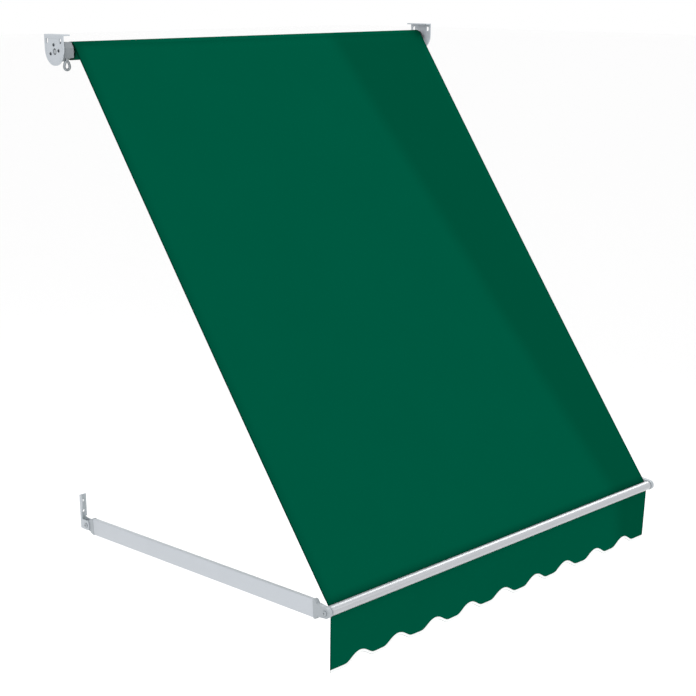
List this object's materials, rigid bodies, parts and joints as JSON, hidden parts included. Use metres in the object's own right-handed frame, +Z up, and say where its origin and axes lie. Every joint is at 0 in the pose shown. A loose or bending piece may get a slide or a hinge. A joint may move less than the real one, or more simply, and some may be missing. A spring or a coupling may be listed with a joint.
{
  "type": "fabric awning",
  "caption": "Hand-cranked drop-arm window awning: roller with green cloth, round front bar, scalloped valance, two swinging arms and brackets.",
  "frame": {"origin": "on the wall face of the left arm's wall bracket, level with the arm's pivot", "axes": "+X along the roller from the gear side to the idler side, +Y into the wall, +Z up; the wall is the plane Y = 0"},
  "size_m": [1.1682, 0.862, 1.2412],
  "materials": {
    "powder_coated_steel": "fine satin powder coat, light grey white",
    "powder_coated_aluminium": "fine satin powder coat, light grey white",
    "coated_front_bar": "smooth satin powder coat, near white",
    "cast_zinc": "bare die casting, dull grey",
    "dark_screws": "blackened steel",
    "zinc_plated_steel": "bright zinc plating",
    "grey_plastic": "moulded, light grey, slightly rough",
    "dark_plastic": "moulded, dark grey",
    "brass_wheel": "turned",
    "green_awning_cloth": "plain-woven coated polyester, dark green, matt",
    "white_binding_tape": "woven edge tape, white",
    "keder_cord": "extruded cord"
  },
  "bodies": {
    "wall_mounting": {"gear_side_bracket": "powder_coated_steel", "gearbox_cover": "cast_zinc", "gearbox_housing": "cast_zinc", "gearbox_screw_1": "dark_screws", "gearbox_screw_2": "dark_screws", "gearbox_screw_3": "dark_screws", "idler_side_bracket": "powder_coated_steel", "idler_pin": "zinc_plated_steel", "left_arm_wall_bracket": "powder_coated_steel", "left_arm_pivot_bolt": "zinc_plated_steel", "left_arm_pivot_nut": "zinc_plated_steel", "right_arm_wall_bracket": "powder_coated_steel", "right_arm_pivot_bolt": "zinc_plated_steel", "right_arm_pivot_nut": "zinc_plated_steel"},
    "roller": {"roller_tube": "zinc_plated_steel", "roller_keder": "keder_cord", "fabric_roll": "green_awning_cloth", "drive_plug": "grey_plastic", "idler_plug": "dark_plastic", "drive_shaft": "zinc_plated_steel", "worm_wheel": "brass_wheel"},
    "crank": {"worm_shaft": "zinc_plated_steel", "crank_eye": "zinc_plated_steel", "crank_eye_pin": "zinc_plated_steel"},
    "left_arm": {"left_arm_profile": "powder_coated_aluminium", "left_arm_wall_plug": "grey_plastic", "left_arm_front_plug": "grey_plastic"},
    "right_arm": {"right_arm_profile": "powder_coated_aluminium", "right_arm_wall_plug": "grey_plastic", "right_arm_front_plug": "grey_plastic"},
    "front_bar_set": {"front_bar": "coated_front_bar", "canopy_keder": "keder_cord", "valance_keder": "keder_cord", "left_bar_plug": "grey_plastic", "left_bar_washer": "zinc_plated_steel", "left_bar_bolt": "zinc_plated_steel", "right_bar_plug": "grey_plastic", "right_bar_washer": "zinc_plated_steel", "right_bar_bolt": "zinc_plated_steel", "valance": "green_awning_cloth", "valance_binding": "white_binding_tape"},
    "canopy_panel": {"canopy": "green_awning_cloth"}
  },
  "joints": [
    {"name": "arm_swing", "type": "hinge", "parent": "wall_mounting", "child": "left_arm", "pos_m": [0, -0.022, 0], "axis": [-1, 0, 0], "range_deg": [0, 75.6]},
    {"name": "right_arm_swing", "type": "hinge", "parent": "wall_mounting", "child": "right_arm", "pos_m": [1.12, -0.022, 0], "axis": [-1, 0, 0], "range_deg": [0, 75.6]},
    {"name": "front_bar_pivot", "type": "hinge", "parent": "left_arm", "child": "front_bar_set", "pos_m": [0, -0.85, 0.034], "axis": [1, 0, 0], "range_deg": [0, 75.6]},
    {"name": "canopy_swing", "type": "hinge", "parent": "wall_mounting", "child": "canopy_panel", "pos_m": [0.56, -0.037, 1.1], "axis": [1, 0, 0], "range_deg": [0, 11.28], "deforming": ["canopy"]},
    {"name": "roller_turn", "type": "hinge", "parent": "wall_mounting", "child": "roller", "pos_m": [0.56, -0.037, 1.1], "axis": [-1, 0, 0], "range_deg": [0, 2718]},
    {"name": "crank_turn", "type": "hinge", "parent": "wall_mounting", "child": "crank", "pos_m": [-0.015, -0.059, 1.1], "axis": [0, 0, 1], "range_deg": [0, 13590]}
  ],
  "couplings": [
    {"joint": "right_arm_swing", "follows": "arm_swing", "ratio": 1},
    {"joint": "front_bar_pivot", "follows": "arm_swing", "ratio": 1},
    {"joint": "canopy_swing", "follows": "arm_swing", "ratio": 0.14924},
    {"joint": "roller_turn", "follows": "arm_swing", "ratio": 35.952},
    {"joint": "crank_turn", "follows": "arm_swing", "ratio": 179.76}
  ]
}
